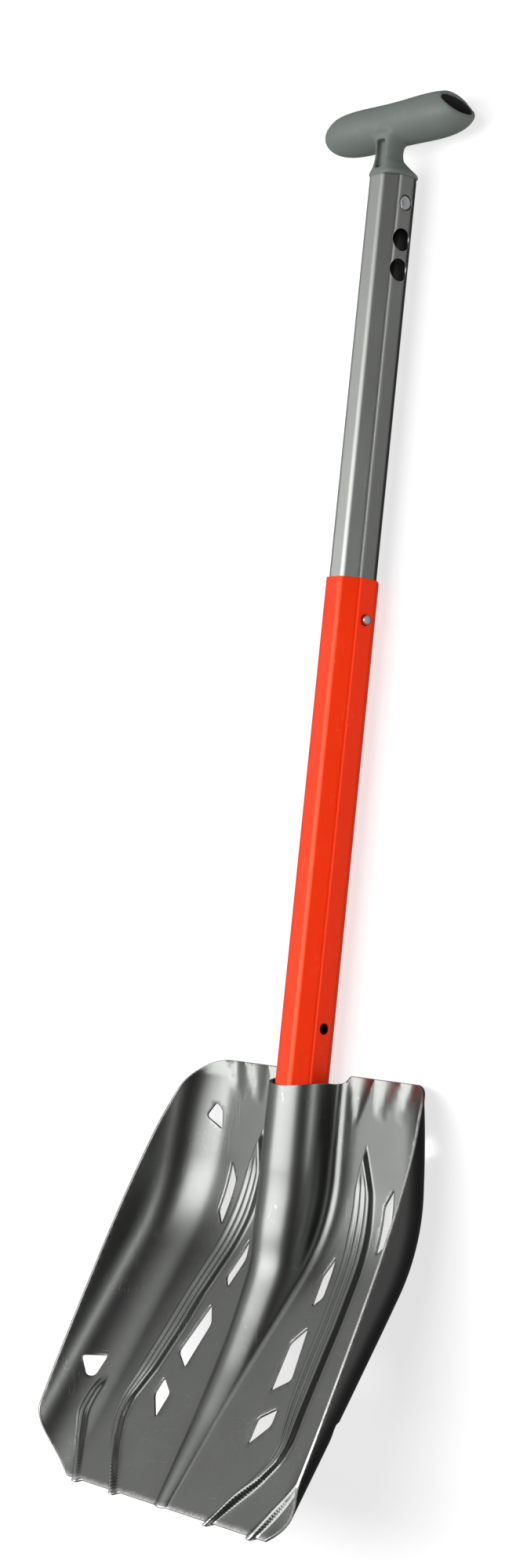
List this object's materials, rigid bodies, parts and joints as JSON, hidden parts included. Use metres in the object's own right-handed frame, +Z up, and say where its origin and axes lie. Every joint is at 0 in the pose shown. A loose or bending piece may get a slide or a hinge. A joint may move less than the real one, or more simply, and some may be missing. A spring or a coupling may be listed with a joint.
{
  "type": "avalanche shovel",
  "caption": "Take-down avalanche shovel: deep ribbed aluminium blade with cut-outs, two-piece telescoping octagonal shaft with snap locks, and a T-grip.",
  "frame": {"origin": "centre of the bounding box's bottom, with the shovel lying on its back", "axes": "+Y along the shaft towards the grip, X across the blade, +Z up out of the scoop"},
  "size_m": [0.241, 0.819, 0.0942],
  "materials": {
    "blade_aluminium": "anodised, satin, dark grey",
    "grey_aluminium": "anodised, satin, grey",
    "orange_aluminium": "anodised, satin, orange-red",
    "spring_steel": "polished stainless",
    "grip_plastic": "fine moulded texture, grey-green",
    "black_plastic": "moulded, black"
  },
  "bodies": {
    "blade": {"blade": "blade_aluminium", "socket_back_plate": "blade_aluminium", "socket_rivet_1": "blade_aluminium", "socket_rivet_2": "blade_aluminium", "socket_rivet_3": "blade_aluminium", "socket_rivet_4": "blade_aluminium", "socket_rivet_5": "blade_aluminium", "socket_rivet_6": "blade_aluminium"},
    "lower_shaft": {"lower_shaft": "orange_aluminium", "lower_end_plug": "black_plastic", "blade_lock_spring": "spring_steel"},
    "blade_lock": {"blade_lock_button": "spring_steel"},
    "upper_shaft": {"upper_shaft": "grey_aluminium", "upper_guide_bush": "black_plastic", "length_lock_spring": "spring_steel", "grip": "grip_plastic", "grip_rivet": "grey_aluminium"},
    "length_lock": {"length_lock_button": "spring_steel"}
  },
  "joints": [
    {"name": "shaft_release", "type": "slide", "parent": "blade", "child": "lower_shaft", "axis": [0, 1, 0], "range_m": [0, 0.09], "deforming": ["blade_lock_button", "blade_lock_spring"]},
    {"name": "telescope", "type": "slide", "parent": "lower_shaft", "child": "upper_shaft", "axis": [0, 1, 0], "range_m": [-0.237, 0], "deforming": ["length_lock_button", "length_lock_spring"]},
    {"name": "blade_lock_press", "type": "slide", "parent": "lower_shaft", "child": "blade_lock", "axis": [0, 0, -1], "range_m": [-0.0045, 0], "stiffness_N_per_m": 1500, "springref_m": 0.002},
    {"name": "length_lock_press", "type": "slide", "parent": "upper_shaft", "child": "length_lock", "axis": [1, 0, 0], "range_m": [-0.0045, 0], "stiffness_N_per_m": 1500, "springref_m": 0.002}
  ]
}
